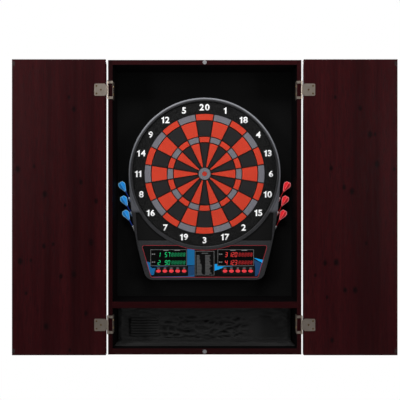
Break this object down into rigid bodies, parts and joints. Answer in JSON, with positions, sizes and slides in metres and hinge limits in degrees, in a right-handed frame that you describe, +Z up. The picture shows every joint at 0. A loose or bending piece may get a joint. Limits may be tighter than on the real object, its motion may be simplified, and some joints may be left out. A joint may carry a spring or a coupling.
{
  "type": "dart board cabinet",
  "caption": "Wall-hung wooden cabinet with hinged doors around an electronic dart board, darts stored in its sides, and a storage bay below.",
  "frame": {"origin": "centre of the case's rear face, on the wall, at mid-height", "axes": "+X to the viewer's right across the open doors, +Y into the wall, +Z up; the doors open towards -Y"},
  "size_m": [1.218, 0.1072, 0.935],
  "materials": {
    "mahogany": "satin lacquered mahogany veneer",
    "black_lining": "matt black",
    "black_cloth": "soft black cloth",
    "bright_steel": "bright plated steel",
    "hinge_nickel": "warm brushed nickel",
    "screw_steel": "plated",
    "black_moulding": "matt",
    "grey_moulding": "satin grey",
    "red_segment": "perforated, matt",
    "grey_segment": "perforated, matt",
    "black_segment": "perforated, matt",
    "membrane_film": "printed film",
    "circuit_green": "solder mask",
    "console_print": "printed graphic, blue shapes on black",
    "display_window": "smoked window with lit digits",
    "button_red": "gloss",
    "dart_steel": "turned and knurled",
    "flight_blue": "foil flight",
    "flight_red": "foil flight"
  },
  "bodies": {
    "case": {"left_side": "mahogany", "right_side": "mahogany", "top_panel": "mahogany", "bottom_panel": "mahogany", "shelf": "mahogany", "back_panel": "black_lining", "back_liner": "black_lining", "storage_liner": "black_cloth", "door_magnets": "bright_steel", "hinge_frame_leaves": "hinge_nickel", "hinge_pins": "hinge_nickel", "frame_screws": "screw_steel", "board_housing": "black_moulding", "board_bezel": "grey_moulding", "number_ring": "black_moulding", "spider": "black_moulding", "red_rings": "red_segment", "grey_rings": "grey_segment", "black_singles": "black_segment", "red_singles": "red_segment", "switch_membrane": "membrane_film", "circuit_board": "circuit_green", "console_panel": "console_print", "displays": "display_window", "game_panel": "display_window", "button_trays": "black_moulding", "power_jack": "black_moulding", "board_screws": "screw_steel"},
    "left_door": {"left_door": "mahogany", "left_door_strikes": "bright_steel", "left_door_leaves": "hinge_nickel", "left_door_screws": "screw_steel"},
    "right_door": {"right_door": "mahogany", "right_door_strikes": "bright_steel", "right_door_leaves": "hinge_nickel", "right_door_screws": "screw_steel"},
    "bull_outer": {"bull_outer": "grey_segment"},
    "bull_inner": {"bull_inner": "red_segment"},
    "button_1": {"button_1": "button_red"},
    "button_2": {"button_2": "button_red"},
    "button_3": {"button_3": "button_red"},
    "button_4": {"button_4": "button_red"},
    "button_5": {"button_5": "button_red"},
    "button_6": {"button_6": "button_red"},
    "button_7": {"button_7": "button_red"},
    "button_8": {"button_8": "button_red"},
    "button_9": {"button_9": "button_red"},
    "button_10": {"button_10": "button_red"},
    "dart_1": {"dart_1_barrel": "dart_steel", "dart_1_flight": "flight_blue"},
    "dart_2": {"dart_2_barrel": "dart_steel", "dart_2_flight": "flight_blue"},
    "dart_3": {"dart_3_barrel": "dart_steel", "dart_3_flight": "flight_blue"},
    "dart_4": {"dart_4_barrel": "dart_steel", "dart_4_flight": "flight_red"},
    "dart_5": {"dart_5_barrel": "dart_steel", "dart_5_flight": "flight_red"},
    "dart_6": {"dart_6_barrel": "dart_steel", "dart_6_flight": "flight_red"}
  },
  "joints": [
    {"name": "left_door_hinge", "type": "hinge", "parent": "case", "child": "left_door", "pos_m": [-0.3065, -0.1047, 0], "axis": [0, 0, 1], "range_deg": [0, 180]},
    {"name": "right_door_hinge", "type": "hinge", "parent": "case", "child": "right_door", "pos_m": [0.3065, -0.1047, 0], "axis": [0, 0, -1], "range_deg": [0, 180]},
    {"name": "bull_outer_press", "type": "slide", "parent": "case", "child": "bull_outer", "axis": [0, 1, 0], "range_m": [0, 0.0015], "stiffness_N_per_m": 1200},
    {"name": "bull_inner_press", "type": "slide", "parent": "case", "child": "bull_inner", "axis": [0, 1, 0], "range_m": [0, 0.0015], "stiffness_N_per_m": 1200},
    {"name": "button_1_press", "type": "slide", "parent": "case", "child": "button_1", "axis": [0, 1, 0], "range_m": [0, 0.0015], "stiffness_N_per_m": 600},
    {"name": "button_2_press", "type": "slide", "parent": "case", "child": "button_2", "axis": [0, 1, 0], "range_m": [0, 0.0015], "stiffness_N_per_m": 600},
    {"name": "button_3_press", "type": "slide", "parent": "case", "child": "button_3", "axis": [0, 1, 0], "range_m": [0, 0.0015], "stiffness_N_per_m": 600},
    {"name": "button_4_press", "type": "slide", "parent": "case", "child": "button_4", "axis": [0, 1, 0], "range_m": [0, 0.0015], "stiffness_N_per_m": 600},
    {"name": "button_5_press", "type": "slide", "parent": "case", "child": "button_5", "axis": [0, 1, 0], "range_m": [0, 0.0015], "stiffness_N_per_m": 600},
    {"name": "button_6_press", "type": "slide", "parent": "case", "child": "button_6", "axis": [0, 1, 0], "range_m": [0, 0.0015], "stiffness_N_per_m": 600},
    {"name": "button_7_press", "type": "slide", "parent": "case", "child": "button_7", "axis": [0, 1, 0], "range_m": [0, 0.0015], "stiffness_N_per_m": 600},
    {"name": "button_8_press", "type": "slide", "parent": "case", "child": "button_8", "axis": [0, 1, 0], "range_m": [0, 0.0015], "stiffness_N_per_m": 600},
    {"name": "button_9_press", "type": "slide", "parent": "case", "child": "button_9", "axis": [0, 1, 0], "range_m": [0, 0.0015], "stiffness_N_per_m": 600},
    {"name": "button_10_press", "type": "slide", "parent": "case", "child": "button_10", "axis": [0, 1, 0], "range_m": [0, 0.0015], "stiffness_N_per_m": 600},
    {"name": "dart_1_lift", "type": "slide", "parent": "case", "child": "dart_1", "axis": [-0.4848, 0, 0.8746], "range_m": [0, 0.008]},
    {"name": "dart_2_lift", "type": "slide", "parent": "case", "child": "dart_2", "axis": [-0.4848, 0, 0.8746], "range_m": [0, 0.008]},
    {"name": "dart_3_lift", "type": "slide", "parent": "case", "child": "dart_3", "axis": [-0.4848, 0, 0.8746], "range_m": [0, 0.008]},
    {"name": "dart_4_lift", "type": "slide", "parent": "case", "child": "dart_4", "axis": [0.4848, 0, 0.8746], "range_m": [0, 0.008]},
    {"name": "dart_5_lift", "type": "slide", "parent": "case", "child": "dart_5", "axis": [0.4848, 0, 0.8746], "range_m": [0, 0.008]},
    {"name": "dart_6_lift", "type": "slide", "parent": "case", "child": "dart_6", "axis": [0.4848, 0, 0.8746], "range_m": [0, 0.008]}
  ]
}
